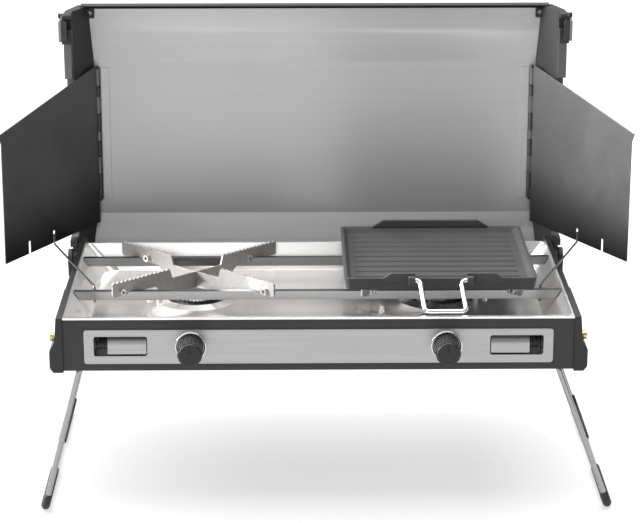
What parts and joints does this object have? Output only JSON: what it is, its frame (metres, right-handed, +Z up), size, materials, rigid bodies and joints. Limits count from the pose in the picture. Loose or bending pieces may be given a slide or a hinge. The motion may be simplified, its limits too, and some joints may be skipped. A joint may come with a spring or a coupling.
{
  "type": "folding camping stove",
  "caption": "Folding gas camping stove on wire legs, with side windshields, pot supports over the burners, a lift-off ribbed griddle and a hinged lid.",
  "frame": {"origin": "on the ground under the middle of the stove's outer box, lid open and legs down", "axes": "+X to the stove's right seen from the knobs, +Y to the back, +Z up"},
  "size_m": [0.587, 0.3312, 0.4072],
  "materials": {
    "dark_paint": "satin dark grey paint",
    "black_plastic": "moulded, fine grain",
    "brushed_steel": "brushed stainless",
    "polished_steel": "bright stainless sheet",
    "lid_liner_steel": "satin stainless sheet",
    "chrome": "bright plated wire",
    "brass": "turned brass",
    "burner_iron": "heat-darkened casting",
    "griddle_coat": "dark non-stick coat on cast plate",
    "rubber": "soft black sleeve",
    "knob_plastic": "moulded control knob",
    "spring_steel": "black spring wire",
    "ceramic": "glazed insulator",
    "stay_wire": "dark plated wire",
    "latch_plate": "pale pressed plate"
  },
  "bodies": {
    "base": {"base_housing": "dark_paint", "front_fascia": "brushed_steel", "side_cap_left": "black_plastic", "side_cap_right": "black_plastic", "latch_studs": "brass", "burner_pan": "polished_steel", "rail_front": "polished_steel", "rail_rear": "polished_steel", "knob_bezels": "chrome", "burner_screws": "chrome", "gas_manifold": "brass", "gas_inlet": "brass", "igniter_shafts": "spring_steel", "electrodes": "ceramic", "leg_brackets": "dark_paint", "lid_hinge_pins": "chrome", "burner_body_left": "burner_iron", "burner_cap_left": "brushed_steel", "mixing_tube_left": "polished_steel", "valve_body_left": "brass", "igniter_body_left": "black_plastic", "igniter_spring_left": "spring_steel", "burner_body_right": "burner_iron", "burner_cap_right": "brushed_steel", "mixing_tube_right": "polished_steel", "valve_body_right": "brass", "igniter_body_right": "black_plastic", "igniter_spring_right": "spring_steel"},
    "lid": {"lid_shell": "dark_paint", "lid_liner": "lid_liner_steel", "lid_end_cap_left": "black_plastic", "lid_end_cap_right": "black_plastic", "latch_pins": "chrome", "windshield_hinge_left": "lid_liner_steel", "windshield_hinge_right": "lid_liner_steel"},
    "griddle": {"griddle_plate": "griddle_coat"},
    "griddle_bail": {"griddle_handle": "chrome"},
    "knob_left": {"knob_left": "knob_plastic", "valve_stem_left": "brass"},
    "igniter_left": {"igniter_flap_left": "brushed_steel"},
    "leg_left": {"leg_frame_left": "chrome", "leg_sleeves_left": "rubber"},
    "pot_support_left": {"support_strip_left_rising": "polished_steel", "support_strip_left_falling": "polished_steel", "support_pins_left": "chrome"},
    "latch_left": {"latch_lever_left": "latch_plate"},
    "windshield_left": {"windshield_left": "dark_paint"},
    "stay_left": {"stay_left": "stay_wire"},
    "knob_right": {"knob_right": "knob_plastic", "valve_stem_right": "brass"},
    "igniter_right": {"igniter_flap_right": "brushed_steel"},
    "leg_right": {"leg_frame_right": "chrome", "leg_sleeves_right": "rubber"},
    "pot_support_right": {"support_strip_right_rising": "polished_steel", "support_strip_right_falling": "polished_steel", "support_pins_right": "chrome"},
    "latch_right": {"latch_lever_right": "latch_plate"},
    "windshield_right": {"windshield_right": "dark_paint"},
    "stay_right": {"stay_right": "stay_wire"}
  },
  "joints": [
    {"name": "lid_hinge", "type": "hinge", "parent": "base", "child": "lid", "pos_m": [0, 0.10295, 0.165], "axis": [-1, 0, 0], "range_deg": [-90, 0]},
    {"name": "windshield_left_hinge", "type": "hinge", "parent": "lid", "child": "windshield_left", "pos_m": [-0.213, 0.15715, 0.165], "axis": [0, 0, 1], "range_deg": [0, 33]},
    {"name": "windshield_right_hinge", "type": "hinge", "parent": "lid", "child": "windshield_right", "pos_m": [0.213, 0.15715, 0.165], "axis": [0, 0, -1], "range_deg": [0, 33]},
    {"name": "latch_left_pivot", "type": "hinge", "parent": "lid", "child": "latch_left", "pos_m": [-0.2426, 0.11595, 0.392], "axis": [0, 0, -1], "range_deg": [0, 35]},
    {"name": "latch_right_pivot", "type": "hinge", "parent": "lid", "child": "latch_right", "pos_m": [0.2426, 0.11595, 0.392], "axis": [0, 0, 1], "range_deg": [0, 35]},
    {"name": "stay_left_pivot", "type": "hinge", "parent": "base", "child": "stay_left", "pos_m": [-0.203, -0.05305, 0.178], "axis": [0, 0, 1], "range_deg": [-25.7, 0]},
    {"name": "stay_right_pivot", "type": "hinge", "parent": "base", "child": "stay_right", "pos_m": [0.203, -0.05305, 0.178], "axis": [0, 0, -1], "range_deg": [-25.7, 0]},
    {"name": "knob_left_turn", "type": "hinge", "parent": "base", "child": "knob_left", "pos_m": [-0.1122, -0.15005, 0.1585], "axis": [0, -1, 0], "range_deg": [0, 240]},
    {"name": "knob_right_turn", "type": "hinge", "parent": "base", "child": "knob_right", "pos_m": [0.1122, -0.15005, 0.1585], "axis": [0, -1, 0], "range_deg": [0, 240]},
    {"name": "igniter_left_press", "type": "hinge", "parent": "base", "child": "igniter_left", "pos_m": [-0.169, -0.13405, 0.16], "axis": [1, 0, 0], "range_deg": [0, 10], "stiffness_Nm_per_rad": 0.08},
    {"name": "igniter_right_press", "type": "hinge", "parent": "base", "child": "igniter_right", "pos_m": [0.169, -0.13405, 0.16], "axis": [1, 0, 0], "range_deg": [0, 10], "stiffness_Nm_per_rad": 0.08},
    {"name": "leg_left_fold", "type": "hinge", "parent": "base", "child": "leg_left", "pos_m": [-0.2095, -0.01105, 0.141], "axis": [0, -1, 0], "range_deg": [0, 100]},
    {"name": "leg_right_fold", "type": "hinge", "parent": "base", "child": "leg_right", "pos_m": [0.2095, -0.01105, 0.141], "axis": [0, 1, 0], "range_deg": [0, 106]},
    {"name": "pot_support_left_lift", "type": "slide", "parent": "base", "child": "pot_support_left", "axis": [0, 0, 1], "range_m": [0, 0.06]},
    {"name": "pot_support_right_lift", "type": "slide", "parent": "base", "child": "pot_support_right", "axis": [0, 0, 1], "range_m": [0, 0.06]},
    {"name": "griddle_lift", "type": "slide", "parent": "pot_support_right", "child": "griddle", "axis": [0, 0, 1], "range_m": [0, 0.06]},
    {"name": "griddle_bail_hinge", "type": "hinge", "parent": "griddle", "child": "griddle_bail", "pos_m": [0.10825, -0.10455, 0.2068], "axis": [-1, 0, 0], "range_deg": [0, 100]}
  ],
  "couplings": [
    {"joint": "stay_left_pivot", "follows": "lid_hinge", "ratio": 0.2855},
    {"joint": "stay_right_pivot", "follows": "lid_hinge", "ratio": 0.2855}
  ]
}
